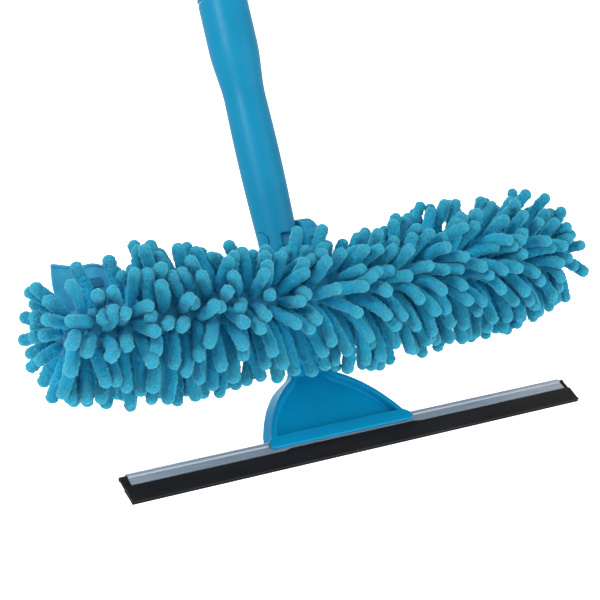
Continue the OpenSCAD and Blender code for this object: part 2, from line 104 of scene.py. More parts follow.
def link(name, mesh):
    obj = bpy.data.objects.new(name, mesh)
    bpy.context.scene.collection.objects.link(obj)
    return obj


def finished(name, bm, material):
    """A smooth-shaded object from a bmesh, with its faces turned outwards."""
    bmesh.ops.recalc_face_normals(bm, faces=bm.faces)
    mesh = bpy.data.meshes.new(name)
    bm.to_mesh(mesh)
    bm.free()
    mesh.polygons.foreach_set("use_smooth", np.ones(len(mesh.polygons), bool))
    mesh.materials.append(material)
    return link(name, mesh)


def add_light(name, offset, size, power):
    """A round soft light, at an offset from the hinge and aimed at it."""
    data = bpy.data.lights.new(name, "AREA")
    data.shape, data.size, data.energy = "DISK", size, power
    light = bpy.data.objects.new(name, data)
    light.location = HINGE + Vector(offset)
    light.rotation_euler = (light.location - HINGE).to_track_quat("Z", "Y").to_euler()
    bpy.context.scene.collection.objects.link(light)


def white_surface(name, strength):
    mat = bpy.data.materials.new(name)
    mat.use_nodes = True
    shader = mat.node_tree.nodes["Principled BSDF"]
    for socket, value in (("Base Color", (0.9, 0.9, 0.9, 1)), ("Roughness", 0.9),
                          ("Emission Color", (1, 1, 1, 1)), ("Emission Strength", strength)):
        shader.inputs[socket].default_value = value
    return mat


def add_stage():
    """A pale floor below the tool, and a white dome that only the camera sees."""
    scene = bpy.context.scene
    scene.view_settings.view_transform = "Standard"
    world = bpy.data.worlds.new("studio")
    world.use_nodes = True
    background = world.node_tree.nodes["Background"]
    background.inputs["Color"].default_value = (1, 1, 1, 1)
    background.inputs["Strength"].default_value = 0.68
    scene.world = world
    floor_z, floor_r, dome_r = -0.42, 1.2, 6.0
    disc, ball = bmesh.new(), bmesh.new()
    bmesh.ops.create_circle(disc, cap_ends=True, segments=96, radius=floor_r)
    bmesh.ops.create_icosphere(ball, subdivisions=4, radius=dome_r)
    staged = []
    for name, bm, glow in (("floor", disc, 0.45), ("dome", ball, 1.0)):
        mesh = bpy.data.meshes.new(name)
        bm.to_mesh(mesh)
        bm.free()
        mesh.materials.append(white_surface(name + "_white", glow))
        staged.append(link(name, mesh))
    floor, dome = staged
    floor.location.z = floor_z
    for ray in ("diffuse", "glossy", "transmission", "volume_scatter", "shadow"):
        setattr(dome, "visible_" + ray, False)
    add_light("key", (-0.95, -0.55, 0.55), size=0.45, power=7.6)
    add_light("fill", (0.5, -1.0, -0.15), size=1.2, power=5)
    add_light("rim", (0.1, 0.7, 0.8), size=0.6, power=6)


# ---------------------------------------------------------------- materials
def srgb(r, g, b):
    """Linear colour from display values of 0 to 255."""
    return tuple((c / 255 / 12.92) if c <= 10.3 else ((c / 255 + 0.055) / 1.055) ** 2.4
                 for c in (r, g, b)) + (1.0,)


def grey(value):
    return value, value, value, 1


class Nodes:
    """A material's nodes: a Principled shader and the noise that drives its colour and bump."""

    def __init__(self, name, roughness, specular=0.4, metallic=0.0, sheen=0.0, sheen_roughness=0.5):
        self.material = bpy.data.materials.new(name)
        self.material.use_nodes = True
        self.tree = self.material.node_tree
        self.shader = self.tree.nodes["Principled BSDF"]
        self.set(("Roughness", roughness), ("Specular IOR Level", specular), ("Metallic", metallic),
                 ("Sheen Weight", sheen), ("Sheen Roughness", sheen_roughness))
        self.place = self.add("ShaderNodeTexCoord").outputs["Object"]

    def set(self, *pairs):
        for socket, value in pairs:
            self.shader.inputs[socket].default_value = value

    def add(self, kind, **values):
        node = self.tree.nodes.new(kind)
        for key, value in values.items():
            setattr(node, key, value)
        return node

    def join(self, a, b):
        self.tree.links.new(a, b)

    def noise(self, scale, detail=3.0, stretch=(1, 1, 1)):
        mapping = self.add("ShaderNodeMapping")
        mapping.inputs["Scale"].default_value = stretch
        self.join(self.place, mapping.inputs["Vector"])
        node = self.add("ShaderNodeTexNoise")
        node.inputs["Scale"].default_value = scale
        node.inputs["Detail"].default_value = detail
        self.join(mapping.outputs["Vector"], node.inputs["Vector"])
        return node.outputs["Fac"]

    def ramp(self, value, *stops):
        """A colour from a value, through (position, colour) stops."""
        node = self.add("ShaderNodeValToRGB")
        elements = node.color_ramp.elements
        while len(elements) < len(stops):
            elements.new(0.5)
        for element, (position, colour) in zip(elements, stops):
            element.position, element.color = position, colour
        self.join(value, node.inputs["Fac"])
        return node.outputs["Color"]

    def colour(self, socket):
        self.join(socket, self.shader.inputs["Base Color"])

    def rough(self, value, low, high):
        node = self.add("ShaderNodeMapRange")
        node.inputs["To Min"].default_value = low
        node.inputs["To Max"].default_value = high
        self.join(value, node.inputs["Value"])
        self.join(node.outputs["Result"], self.shader.inputs["Roughness"])

    def bump(self, height, depth, strength):
        node = self.add("ShaderNodeBump")
        node.inputs["Strength"].default_value = strength
        node.inputs["Distance"].default_value = depth
        self.join(height, node.inputs["Height"])
        self.join(node.outputs["Normal"], self.shader.inputs["Normal"])


def plastic(name, dark, light, roughness, specular):
    """Moulded plastic: slow colour drift, uneven gloss and the faint grain of the tool steel."""
    n = Nodes(name, roughness, specular)
    n.colour(n.ramp(n.noise(scale=38, detail=2), (0.3, dark), (0.7, light)))
    n.rough(n.noise(scale=240, detail=4), roughness - 0.06, roughness + 0.1)
    n.bump(n.noise(scale=2600, detail=2), depth=0.04 * MM, strength=0.25)
    return n.material


def brushed_metal(name, dark, light, roughness, along=(1, 30, 30), metallic=0.8):
    """Metal with lines: along stretches the noise, so that it runs along the axis with the low number."""
    n = Nodes(name, roughness, specular=0.5, metallic=metallic)
    lines = n.noise(scale=60, detail=5, stretch=along)
    n.colour(n.ramp(lines, (0.3, dark), (0.7, light)))
    n.rough(lines, roughness - 0.08, roughness + 0.12)
    n.bump(lines, depth=0.03 * MM, strength=0.3)
    return n.material


def rubber(name, dark, light, roughness=0.55):
    """Matte rubber with slow streaks along the tool and a fine grain."""
    n = Nodes(name, roughness, specular=0.2)
    streaks = n.noise(scale=90, detail=4, stretch=(0.3, 1, 1))
    n.colour(n.ramp(streaks, (0.35, dark), (0.7, light)))
    n.rough(n.noise(scale=300, detail=3), roughness - 0.1, roughness + 0.15)
    n.bump(n.noise(scale=3000, detail=2), depth=0.03 * MM, strength=0.3)
    return n.material


def weave(name, dark, light):
    """Woven cloth: two crossed sets of threads, with the shade of uneven dye."""
    n = Nodes(name, roughness=0.85, specular=0.15, sheen=0.35, sheen_roughness=0.4)
    waves = []
    for direction in ("X", "Z"):
        wave = n.add("ShaderNodeTexWave", bands_direction=direction)
        wave.inputs["Scale"].default_value = 900
        wave.inputs["Distortion"].default_value = 0.6
        n.join(n.place, wave.inputs["Vector"])
        waves.append(wave.outputs["Fac"])
    cross = n.add("ShaderNodeMath", operation="MULTIPLY")
    n.join(waves[0], cross.inputs[0])
    n.join(waves[1], cross.inputs[1])
    n.colour(n.ramp(n.noise(scale=160, detail=4), (0.3, dark), (0.7, light)))
    n.bump(cross.outputs["Value"], depth=0.12 * MM, strength=0.5)
    return n.material


def hook_loop(name, dark, light):
    """Hook-and-loop tape: a dense field of small cells, pale at their middles."""
    n = Nodes(name, roughness=0.9, specular=0.1, sheen=0.3)
    cell = n.add("ShaderNodeTexVoronoi")
    cell.inputs["Scale"].default_value = 1500
    n.join(n.place, cell.inputs["Vector"])
    n.colour(n.ramp(cell.outputs["Distance"], (0.1, light), (0.7, dark)))
    n.bump(cell.outputs["Distance"], depth=0.3 * MM, strength=0.7)
    return n.material


def chenille(name):
    """Microfibre pile with painted light: the colour is brightened at the root to lift the shade between
    the fingers, greyer and darker at the tip; speckled, with a soft sheen.
    """
    n = Nodes(name, roughness=0.95, specular=0.08, sheen=0.16, sheen_roughness=0.35)
    n.set(("Sheen Tint", (0.55, 0.85, 0.95, 1)), ("Subsurface Weight", 0.6),
          ("Subsurface Scale", 8 * MM), ("Subsurface Radius", (0.5, 0.9, 1.0)))
    along = n.add("ShaderNodeAttribute", attribute_name="along").outputs["Fac"]
    uneven = n.add("ShaderNodeMath", operation="MULTIPLY_ADD")
    uneven.inputs[1].default_value = 0.22
    n.join(n.noise(scale=900, detail=4), uneven.inputs[0])
    n.join(along, uneven.inputs[2])
    # painted light: the colour is brightest at the root, where the fingers shade each other, and darker
    # towards the tip
    shade = n.ramp(uneven.outputs["Value"], (0.12, srgb(43, 179, 220)), (0.5, srgb(41, 166, 205)),
                   (0.85, srgb(41, 147, 180)), (1.0, srgb(51, 147, 174)))
    speckle = n.ramp(n.noise(scale=1300, detail=5), (0.32, grey(0.76)), (0.68, grey(1.16)))
    tinted = n.add("ShaderNodeVectorMath", operation="MULTIPLY")
    n.join(shade, tinted.inputs[0])
    n.join(speckle, tinted.inputs[1])
    n.colour(tinted.outputs["Vector"])
    n.bump(n.noise(scale=1100, detail=5), depth=0.7 * MM, strength=1.0)
    return n.material


BLUE = plastic("blue_plastic", srgb(12, 124, 162), srgb(18, 131, 170), roughness=0.33, specular=0.13)
# the holder is the handle's plastic, painted lighter and more saturated to lift the shade that the pile
# casts on it
HOLDER_BLUE_PAINTED_LIGHT = plastic("holder_plastic_painted_light", srgb(0, 142, 190), srgb(3, 150, 199), roughness=0.36, specular=0.16)
KNOB_BLUE = plastic("knob_plastic", srgb(24, 130, 170), srgb(36, 144, 182), roughness=0.4, specular=0.15)
BAR_BLUE = plastic("bar_plastic", srgb(16, 92, 128), srgb(22, 104, 140), roughness=0.6, specular=0.2)
STEEL = brushed_metal("zinc_steel", (0.42, 0.43, 0.45, 1), (0.62, 0.63, 0.65, 1), roughness=0.35,
                      along=(8, 8, 8), metallic=1.0)
ALLOY = brushed_metal("satin_alloy", srgb(150, 162, 176), srgb(176, 184, 194), roughness=0.42, metallic=0.5)
RUBBER = rubber("black_rubber", srgb(14, 14, 16), srgb(28, 26, 29))
FRICTION = rubber("friction_fibre", srgb(30, 30, 32), srgb(58, 56, 56), roughness=0.8)
CLOTH = weave("sleeve_cloth", srgb(42, 142, 184), srgb(58, 158, 198))
TAPE = hook_loop("hook_and_loop", srgb(24, 104, 138), srgb(38, 124, 158))
PILE = chenille("chenille")


def finish_cad(material, *nodes):
    for name in nodes:
        data = frame["nodes"][name].data
        data.materials.clear()
        data.materials.append(material)


# ---------------------------------------------------------------- moulded parts with rounded edges
def bake(obj):
    """Applies the object's modifiers to its mesh."""
    graph = bpy.context.evaluated_depsgraph_get()
    mesh = bpy.data.meshes.new_from_object(obj.evaluated_get(graph))
    obj.modifiers.clear()
    obj.data = mesh


def add_smooth(obj, rounds, group=""):
    smooth = obj.modifiers.new("round", "SMOOTH")
    smooth.factor, smooth.iterations, smooth.vertex_group = 0.5, rounds, group


def moulded(node, body, material, voxel, rounds, soft_above=None):
    """A copy of a CAD part whose sharp edges are softened as a mould's are, most of all above a height."""
    same_place, fade = 0.001 * MM, 3 * MM
    mesh = frame["nodes"][node].data.copy()
    bm = bmesh.new()
    bm.from_mesh(mesh)
    bmesh.ops.remove_doubles(bm, verts=bm.verts, dist=same_place)
    bm.to_mesh(mesh)
    bm.free()
    obj = link(node + "_moulded", mesh)
    remesh = obj.modifiers.new("skin", "REMESH")
    remesh.mode, remesh.voxel_size, remesh.use_smooth_shade = "VOXEL", voxel, True
    add_smooth(obj, rounds)
    bake(obj)
    if soft_above is not None:
        group = obj.vertex_groups.new(name="soft")
        for vertex in obj.data.vertices:
            share = min(1.0, max(0.0, (vertex.co.z - soft_above) / fade))
            group.add([vertex.index], share, "REPLACE")
        add_smooth(obj, 3 * rounds, "soft")
        bake(obj)
    obj.data.materials.clear()
    obj.data.materials.append(material)
    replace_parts(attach(obj, body), node)


# ---------------------------------------------------------------- chenille fingers
FINGER_R = 3.15 * MM
FINGER_LENGTH = 27.5 * MM
LINKS = 7  # points on a finger's middle line
RING_PITCH = 8.3 * MM
AROUND, END_AROUND = 14, 5  # fingers in a ring on the sleeve, and round the middle one of an end
FLAP_ROOM = FINGER_R + 1.0 * MM  # how far from the flap's sides the nearest roots stand
SWEEP_MARGIN = 2.5 * MM  # bare strip beside the flap, and its extra room at the left where it swings
PILE_PIECES = 7
# tables of (place along the bar, value)
# slopes along the bar: of every finger, and more for those that face the front
LEAN_X = ((-0.160, -0.6), (-0.145, -0.42), (-0.125, -0.2), (-0.06, -0.12), (-0.02, 0.15),
          (0.02, 0.4), (0.135, 0.4), (0.162, 0.42))
FACING_LEAN = ((-0.13, 0), (-0.11, -0.4), (-0.06, -0.4), (-0.02, 0))
# how far the lower fingers give way to their weight, and how far below the middle that starts, in radii
HANG_WEIGHT = ((-0.16, 0.2), (-0.12, 0.45), (-0.05, 0.8), (0.0, 0.9))
HANG_START = ((-0.05, 0.35), (0.02, 0.0))
# millimetres more on the lower and the upper fingers, and less near the ends
HANG_EXTRA = ((-0.15, 2), (-0.11, 8), (-0.03, 7), (0.02, 11), (0.06, 6), (0.16, 2))
TOP_EXTRA = ((-0.12, 0), (-0.10, 3), (-0.075, -2), (-0.045, -6), (0.02, -6), (0.05, 1),
             (0.08, 5), (0.13, 5), (0.15, -2))
END_SHORT = ((-0.16, 2.0), (-0.13, 0), (0.12, 0), (0.16, 8.5))
# single fingers round the hinge: place along the bar, turn from the top, length share, lean
PLACED = ((-0.025, 0.4, 1.02, 0.28), (-0.011, 0.4, 1.02, 0.28), (-0.034, 0.35, 0.76, -0.4),
          (-0.003, 2.75, 1.2, 0.0), (0.006, 2.6, 1.25, 0.0), (0.015, 2.8, 1.25, 0.0))


def along_bar(table, x):
    """A value that changes along the bar, from a table of places and values."""
    places, values = zip(*table)
    return np.interp(x, places, values)


def finger_root(x, turn, size=1.0, lean=math.nan, spread=1.0):
    """A row of roots: x, the direction from the bar in y and z, a length share, and a lean if it is set."""
    return x, -math.sin(turn) * spread, math.cos(turn) * spread, size, lean


def finger_roots():
    """Roots in staggered rings on the sleeve, leaving out the stem's slit and the flap's bare landing."""
    end_inset, slit_half = 2.5 * MM, 29 * MM
    uneven_x, uneven_turn = 1.0 * MM, 0.09
    before_flap, middle_spread, rim_spread = math.radians(16), 0.05, 0.62
    roots = []
    reach = SLEEVE_HIGH.x - end_inset
    rings = int(2 * reach / RING_PITCH) + 1
    for ring in range(rings):
        for k in range(AROUND):
            x = -reach + ring * 2 * reach / (rings - 1) + rng.uniform(-1, 1) * uneven_x
            turn = (k + 0.5 * (ring % 2)) * math.tau / AROUND + rng.uniform(-1, 1) * uneven_turn
            y, z = -math.sin(turn), math.cos(turn)
            beside_stem = abs(x) < slit_half and y > -0.05
            past_flap = y > -0.7 and (y * math.sin(FLAP_LEAN) + z * math.cos(FLAP_LEAN)) > -0.62
            on_flap = FLAP_LOW.x - SWEEP_MARGIN < x < FLAP_HIGH.x + SWEEP_MARGIN and past_flap
            if past_flap and FLAP_LOW.x - FLAP_ROOM < x < FLAP_HIGH.x + FLAP_ROOM:
                x = FLAP_LOW.x - FLAP_ROOM if x < FLAP_ROOT.x else FLAP_HIGH.x + FLAP_ROOM
            if not (beside_stem or on_flap):
                roots.append(finger_root(x, turn))
    for share in (0.42, 0.98):
        roots.append(finger_root(FLAP_LOW.x + share * FLAP_WIDTH, before_flap, 0.92))
    for x, turn, size, lean in PLACED:
        roots.append(finger_root(x, turn, size, lean))
    for end, size in ((SLEEVE_LOW.x, 0.6), (SLEEVE_HIGH.x, 0.4)):
        for k in range(END_AROUND + 1):
            spread = rim_spread if k < END_AROUND else middle_spread
            roots.append(finger_root(end, k * math.tau / END_AROUND + 0.4, size, spread=spread))
    return np.array(roots)


def rooted_on_end(roots):
    return np.hypot(roots[:, 1], roots[:, 2]) < 0.7


def rooted_beside_flap(roots):
    return (roots[:, 0] < FLAP_LOW.x - 1 * MM) & (roots[:, 2] > 0.1) & ~rooted_on_end(roots)


def hang_extra(roots):
    """How much longer a finger is because it hangs from the washer's lower half."""
    return np.clip(-roots[:, 2], 0, 1) * along_bar(HANG_EXTRA, roots[:, 0]) * MM


def finger_lengths(roots):
    """The length of each finger's middle line, by its place on the washer."""
    varied, tall_share, tall_least, tall_most = 1.5, 0.2, 3, 7
    rear_short, knob_share, flap_share = 4 * MM, 0.82, 0.8
    count = len(roots)
    x, y, z, size, lean = roots.T
    ordinary, chosen = size == 1.0, ~np.isnan(lean)
    standing = np.clip(z, 0, 1) * along_bar(TOP_EXTRA, x) * MM
    standing[chosen] = 0
    tall = (rng.random(count) < tall_share) & (z > 0.3) & ordinary
    behind = (y > 0.15) & (z > 0.2)
    length = FINGER_LENGTH * size + hang_extra(roots) + standing - FINGER_R - along_bar(END_SHORT, x) * MM
    length += rng.normal(0, varied, count) * MM * ordinary - rear_short * behind
    length += np.where(tall & (x > 0.06), rng.uniform(tall_least, tall_most, count) * MM, 0)
    before_knob = (x > -0.047) & (x < -0.004) & (z > 0.5) & ~chosen
    length[before_knob] *= knob_share
    length[rooted_beside_flap(roots)] *= flap_share
    return length


def bent_fingers(roots, base, normal, step, down):
    """The fingers as their own lean and weight bend them, before their neighbours push."""
    flap_lean, early_lean, light_weight, facing_weight = -1.9, 0.35, 0.12, 0.45
    wildness, calm = 0.29, 0.2
    count = len(roots)
    x, y, z, size, lean = roots.T
    chosen = ~np.isnan(lean)
    below = np.clip(-1.3 * (z + along_bar(HANG_START, x)), 0, 1)
    facing = np.clip(-y, 0, 1)
    hang = along_bar(HANG_WEIGHT, x)
    style = np.zeros((count, 3))
    style[:, 0] = along_bar(LEAN_X, x) * (1 - hang * below)
    style[:, 0] += along_bar(FACING_LEAN, x) * facing * (1 - below)
    style[chosen, 0] = lean[chosen]
    style[rooted_on_end(roots)] = 0
    style[rooted_beside_flap(roots), 0] = flap_lean
    to_right = np.clip(x / 0.12 + 0.3, 0, 1)
    weight = (light_weight + hang * below + facing_weight * facing * to_right)[:, None]
    wild = rng.normal(0, wildness, (count, 3))
    wild[size != 1] *= calm
    place = np.zeros((count, LINKS, 3))
    place[:, 0] = base
    for k in range(1, LINKS):
        t = k / (LINKS - 1)
        lean_share = early_lean + (1 - early_lean) * t
        way = normal + style * lean_share + np.array(down) * weight * t * t + wild * t
        way /= np.linalg.norm(way, axis=1)[:, None]
        place[:, k] = place[:, k - 1] + way * step[:, None]
    return place


def near_pairs(flat, owner, reach):
    """Pairs of points on different fingers that lie within reach of each other."""
    order = np.argsort(flat[:, 0])
    xs = flat[order, 0]
    firsts, seconds = [], []
    for i, end in enumerate(np.searchsorted(xs, xs + reach)):
        near = order[i + 1:end]
        near = near[owner[near] != owner[order[i]]]
        near = near[np.linalg.norm(flat[near] - flat[order[i]], axis=1) < reach]
        firsts.append(np.full(len(near), order[i]))
        seconds.append(near)
    return np.concatenate(firsts), np.concatenate(seconds)


def settle_fingers(roots, down):
    """Bends each finger by its own weight and lean, then lets neighbours push each other apart."""
    root_rise, end_rise, end_splay = 0.2 * MM, 1.3 * MM, 0.7
    rounds, refresh, push_share, pull_back, evenings = 72, 8, 0.3, 0.03, 3
    gap = 2 * FINGER_R * 0.97
    count = len(roots)
    on_end = rooted_on_end(roots)
    side = np.sign(roots[:, 0])[:, None]
    radial = roots[:, :3] * (0, 1, 1)
    base = radial * (SLEEVE_R + root_rise)
    base[:, 0] = roots[:, 0]
    base[on_end] += side[on_end] * (end_rise, 0, 0)
    normal = np.where(on_end[:, None], side * (1.0, 0, 0) + radial * end_splay, radial)
    normal /= np.linalg.norm(normal, axis=1)[:, None]
    step = finger_lengths(roots) / (LINKS - 1)
    place = bent_fingers(roots, base, normal, step, down)
    start = place.copy()
    owner = np.repeat(np.arange(count), LINKS)
    rank = np.tile(np.arange(LINKS), count)
    for turn in range(rounds):
        flat = place.reshape(-1, 3)
        if turn % refresh == 0:
            first, second = near_pairs(flat, owner, gap * 1.5)
            room = gap * np.clip(0.35 + 0.13 * np.minimum(rank[first], rank[second]), 0, 1)
        apart = flat[first] - flat[second]
        distance = np.linalg.norm(apart, axis=1) + 1e-9
        push = np.clip(room - distance, 0, None)[:, None] * apart / distance[:, None] * push_share
        shift = np.zeros_like(flat)
        np.add.at(shift, first, push)
        np.add.at(shift, second, -push)
        place = (flat + shift).reshape(place.shape)
        place += (start - place) * pull_back
        keep_clear(place, roots)
        place[:, 0] = base
        place[:, 1] = base + normal * step[:, None]
        for k in range(2, LINKS):
            way = place[:, k] - place[:, k - 1]
            way /= np.linalg.norm(way, axis=1)[:, None]
            place[:, k] = place[:, k - 1] + way * step[:, None]
    for _ in range(evenings):
        place[:, 1:-1] = 0.5 * place[:, 1:-1] + 0.25 * (place[:, :-2] + place[:, 2:])
    return place


def keep_clear(place, roots):
    """Holds the fingers off the sleeve, inside the pile's outline, off the stem and off the flap."""
    free = place[:, 2:]
    x, y, z = free[..., 0], free[..., 1], free[..., 2]
    root_x, root_y = (column[:, None] for column in roots[:, :2].T)
    keep_in_outline(free, roots)
    stem_half, stem_depth, beside_slit = 10 * MM + FINGER_R, 2 * MM, 15 * MM
    behind = (y > stem_depth) & (np.abs(x) < stem_half) & (np.abs(root_x) > beside_slit)
    free[..., 0] = np.where(behind, np.where(root_x < 0, -1, 1) * stem_half, x)
    flap = FLAP_ROOT - BAR
    before, edge = FINGER_R + 1.2 * MM, 2 * MM
    out = (y - flap.y) * FLAP_FRONT.y + (z - flap.z) * FLAP_FRONT.z
    inside = ((x > FLAP_LOW.x - edge) & (x < FLAP_HIGH.x + edge)
              & (out > -FINGER_R) & (z > 0) & (root_y < 0))
    short = np.clip(before - out, 0, None)
    free[..., 1] += np.where(inside, short * FLAP_FRONT.y, 0)
    free[..., 2] += np.where(inside, short * FLAP_FRONT.z, 0)
    y, z = y - flap.y, z - flap.z
    rise, out = y * FLAP_UP.y + z * FLAP_UP.z, y * FLAP_FRONT.y + z * FLAP_FRONT.z
    room = FINGER_R + 1.5 * MM
    swept = (rise > -room) & (out < room) & (np.hypot(y, z) < FLAP_REACH + 2 * room)
    left, right = FLAP_LOW.x - room - SWEEP_MARGIN, FLAP_HIGH.x + room
    beside = np.where(root_x < (left + right) / 2, left, right)
    own = (root_x < FLAP_LOW.x) | (root_x > FLAP_HIGH.x)
    free[..., 0] = np.where(swept & own & (x > left) & (x < right), beside, x)


def keep_in_outline(free, roots):
    """Holds points between the sleeve and the pile's outline, which bulges where the fingers hang."""
    low = hang_extra(roots)
    low[(np.abs(roots[:, 0]) < 0.06) & (roots[:, 1] > 0.1)] = 0
    most = (PILE_R - 0.8 * FINGER_R + low + np.clip(roots[:, 2], 0, 1) * 5 * MM)[:, None]
    least = np.where(rooted_on_end(roots), 0, SLEEVE_R + 2.5 * MM)[:, None]
    far = np.hypot(free[..., 1], free[..., 2])
    free[..., 1:] *= (np.clip(far, least, most) / (far + 1e-9))[:, :, None]


def along_curve(points, t):
    """Points on smooth curves through each row of points, at shares t of their length."""
    last = points.shape[1] - 1
    where = np.clip(t, 0, 1) * last
    i = np.minimum(where.astype(int), last - 1)
    f = (where - i)[None, :, None]
    a, b, c, d = (points[:, np.clip(i + k, 0, last)] for k in (-1, 0, 1, 2))
    return 0.5 * (2 * b + (c - a) * f + (2 * a - 5 * b + 4 * c - d) * f * f
                  + (3 * b - a - 3 * c + d) * f ** 3)


def finger_surface(chains, sides, body_rings, cap_rings):
    """The rings of points round each finger, its tip, and how far along the finger each ring is."""
    thin_root, full_from, look_back, wave_count = 0.62, 0.45, 0.03, 5
    wave_height, grain, roughness = 0.55, 3.0, 0.08 * MM
    count = len(chains)
    trunk = np.linspace(0, 1, body_rings, endpoint=False)
    angles = np.linspace(0, math.pi / 2, cap_rings, endpoint=False)
    t = np.concatenate([trunk, np.ones(cap_rings)])
    centre = along_curve(chains, t)
    tangent = centre - along_curve(chains, np.clip(t - look_back, 0, 1))
    tangent[:, 0] = chains[:, 1] - chains[:, 0]
    tangent /= np.linalg.norm(tangent, axis=2)[:, :, None]
    centre[:, body_rings:] += tangent[:, body_rings:] * (FINGER_R * np.sin(angles))[None, :, None]
    swell = np.sin(np.clip(trunk / full_from, 0, 1) * math.pi / 2)
    profile = np.concatenate([thin_root + (1 - thin_root) * swell, np.cos(angles)])[None, :, None]
    across = np.cross(tangent, np.array([0.31, 0.2, 0.93]) + rng.normal(0, 0.3, (count, 1, 3)))
    across /= np.linalg.norm(across, axis=2)[:, :, None]
    third = np.cross(tangent, across)
    turn = np.linspace(0, math.tau, sides, endpoint=False)
    ring = (across[:, :, None] * np.cos(turn)[None, None, :, None]
            + third[:, :, None] * np.sin(turn)[None, None, :, None])
    thick = rng.uniform(0.93, 1.06, (count, 1, 1))
    rough = np.zeros((count, len(t), sides))
    for _ in range(wave_count):
        waves, lobes = rng.uniform(3, 11, (count, 1, 1)), rng.integers(1, 6, (count, 1, 1))
        phase = rng.uniform(0, math.tau, (count, 1, 1))
        angle = waves * t[None, :, None] * math.tau + lobes * turn[None, None, :] + phase
        rough += wave_height * np.sin(angle)
    rough += rng.normal(0, grain, rough.shape)
    radius = FINGER_R * profile * thick + rough * roughness * profile
    points = centre[:, :, None] + ring * radius[..., None]
    tip = centre[:, -1] + tangent[:, -1] * FINGER_R * (1 - math.sin(angles[-1]))
    shares = np.concatenate([trunk * 0.9, 0.9 + 0.1 * np.sin(angles)])
    return points, tip, shares


def finger_mesh(name, chains):
    """Closed tubes with a thin root, a round tip and an uneven, velvety surface."""
    sides, body_rings, cap_rings = 26, 27, 8
    count, rows = len(chains), body_rings + cap_rings
    points, tip, shares = finger_surface(chains, sides, body_rings, cap_rings)
    flat = np.concatenate([points.reshape(count, -1, 3), chains[:, :1], tip[:, None]], 1)
    per = flat.shape[1]
    root_point, tip_point, last_ring = per - 2, per - 1, (rows - 1) * sides
    around = [(s, (s + 1) % sides) for s in range(sides)]
    quads = [(r + s, r + n, r + sides + n, r + sides + s)
             for r in range(0, last_ring, sides) for s, n in around]
    caps = [cap for s, n in around
            for cap in ((root_point, n, s), (tip_point, last_ring + s, last_ring + n))]
    start = (np.arange(count) * per)[:, None, None]
    quad = (np.array(quads)[None] + start).reshape(-1, 4)
    tri = (np.array(caps)[None] + start).reshape(-1, 3)
    mesh = bpy.data.meshes.new(name)
    mesh.vertices.add(count * per)
    mesh.vertices.foreach_set("co", (flat + np.array(BAR)).ravel().astype(np.float32))
    mesh.loops.add(quad.size + tri.size)
    mesh.loops.foreach_set("vertex_index", np.concatenate([quad.ravel(), tri.ravel()]).astype(np.int32))
    mesh.polygons.add(len(quad) + len(tri))
    starts = np.concatenate([np.arange(len(quad)) * 4, quad.size + np.arange(len(tri)) * 3])
    mesh.polygons.foreach_set("loop_start", starts.astype(np.int32))
    mesh.update(calc_edges=True)
    mesh.validate()
    mesh.polygons.foreach_set("use_smooth", np.ones(len(mesh.polygons), bool))
    # shares along each finger, which set where the pile's painted root light falls
    shade = np.concatenate([np.repeat(shares, sides), [0, 1]])
    tint = rng.normal(0, 0.05, count)
    along = mesh.attributes.new("along", "FLOAT", "POINT")
    along.data.foreach_set("value", (shade[None] + tint[:, None]).ravel().astype(np.float32))
    return mesh


def add_pile(down):
    """The fingers in a few pieces along the bar; the first of them stands for the CAD pile."""
    roots = finger_roots()
    chains = settle_fingers(roots, down)
    order = np.argsort(roots[:, 0], kind="stable")
    for number, group in enumerate(np.array_split(order, PILE_PIECES), 1):
        mesh = finger_mesh(f"chenille_{number}", chains[group])
        mesh.materials.append(PILE)
        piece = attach(link(mesh.name, mesh), "head")
        if number == 1:
            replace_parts(piece, "chenille_pile")


# ---------------------------------------------------------------- cloth
def round_bar(turn):
    """The direction out of the bar at a turn from the top, the front first."""
    return Vector((0, -math.sin(turn), math.cos(turn)))


def cloth_grid(name, point, across, up, thickness, material):
    """A closed sheet of cloth from a function that gives the middle surface and its normal."""
    bm = bmesh.new()
    sides = []
    for side in (1, -1):
        rows = []
        for j in range(up + 1):
            row = []
            for i in range(across + 1):
                place, normal = point(i / across, j / up)
                row.append(bm.verts.new(place + normal * (side * thickness / 2)))
            rows.append(row)
        sides.append(rows)
        for j in range(up):
            for i in range(across):
                loop = [rows[j][i], rows[j][i + 1], rows[j + 1][i + 1], rows[j + 1][i]]
                bm.faces.new(loop if side > 0 else loop[::-1])
    front, rear = sides
    edge = ([(0, i) for i in range(across + 1)] + [(j, across) for j in range(1, up + 1)]
            + [(up, i) for i in range(across - 1, -1, -1)] + [(j, 0) for j in range(up - 1, 0, -1)])
    for (a, b), (c, d) in zip(edge, edge[1:] + edge[:1]):
        bm.faces.new([front[c][d], front[a][b], rear[a][b], rear[c][d]])
    return finished(name, bm, material)


def flap_point(s, h):
    """The flap's surface: s runs from its left edge to its right, h from its sewn edge to its top."""
    sewn_in, bulge = 0.075, 2.6 * MM
    h = h * (1 + sewn_in) - sewn_in
    reach = FLAP_REACH + (2.0 - 3.6 * s) * MM * h + 0.45 * MM * math.sin(9.5 * s + 0.8) * h
    x = FLAP_LOW.x + FLAP_WIDTH * s - bulge * (1 - s) * math.sin(math.pi * max(h, 0) ** 0.8)
    wave = (0.55 * math.sin(7.4 * s + 1.6 * h) + 0.3 * math.sin(15 * s + 2.6) * h) * MM
    return Vector((x, FLAP_ROOT.y, FLAP_ROOT.z)) + FLAP_UP * (reach * h) + FLAP_FRONT * wave, FLAP_FRONT


